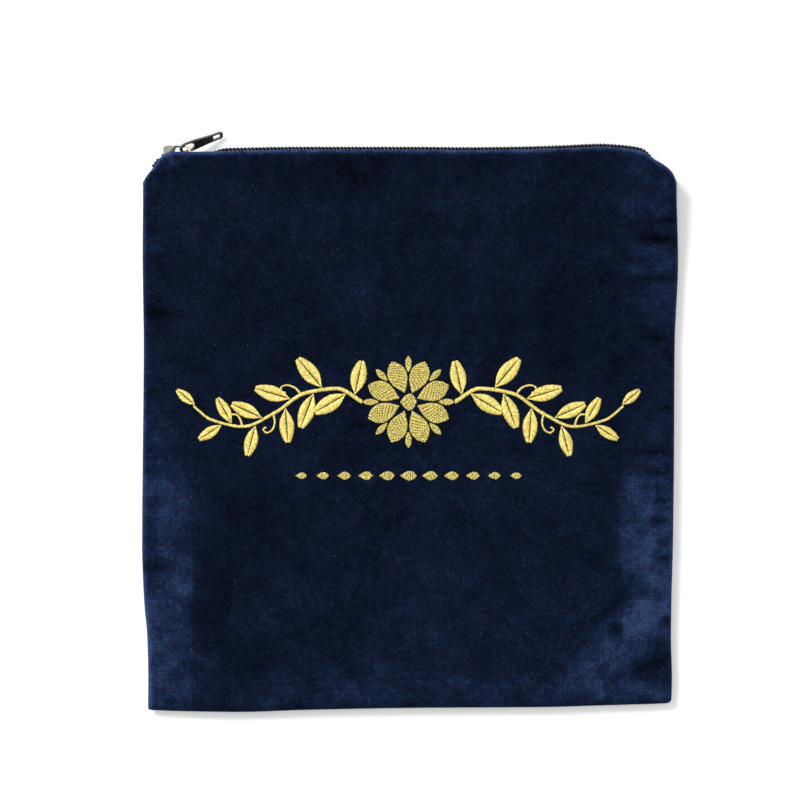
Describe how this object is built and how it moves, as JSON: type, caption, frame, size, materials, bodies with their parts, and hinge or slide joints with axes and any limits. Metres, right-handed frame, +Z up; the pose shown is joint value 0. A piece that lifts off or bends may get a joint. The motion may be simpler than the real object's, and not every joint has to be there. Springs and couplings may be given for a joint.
{
  "type": "tallit bag",
  "caption": "Flat velvet pouch for a prayer shawl, with a hollow inside, cut top corners and a zipper with a hinged pull along its top edge.",
  "frame": {"origin": "centre of the flat back face that the bag lies on", "axes": "+X to the right across the bag, +Y towards the zipper, +Z up through the front, away from the resting surface"},
  "size_m": [0.2408, 0.261, 0.0126],
  "materials": {
    "velvet": "navy cotton velvet with a brushed pile",
    "tape_cloth": "black woven zipper tape",
    "coil_nylon": "black nylon coil",
    "black_metal": "black enamel with bright worn edges",
    "spring_metal": "copper-coloured spring leaf",
    "gold_thread": "gold embroidery thread"
  },
  "bodies": {
    "bag": {"front_panel": "velvet", "back_panel": "velvet", "front_tape": "tape_cloth", "back_tape": "tape_cloth", "front_coil": "coil_nylon", "back_coil": "coil_nylon", "slider_body": "black_metal", "locking_spring": "spring_metal"},
    "pull": {"pull_tab": "black_metal"}
  },
  "joints": [
    {"name": "pull_hinge", "type": "hinge", "parent": "bag", "child": "pull", "pos_m": [-0.10141, 0.12669, 0.00718], "axis": [-0.0333, 0.6186, 0.785], "range_deg": [-10, 110]}
  ]
}
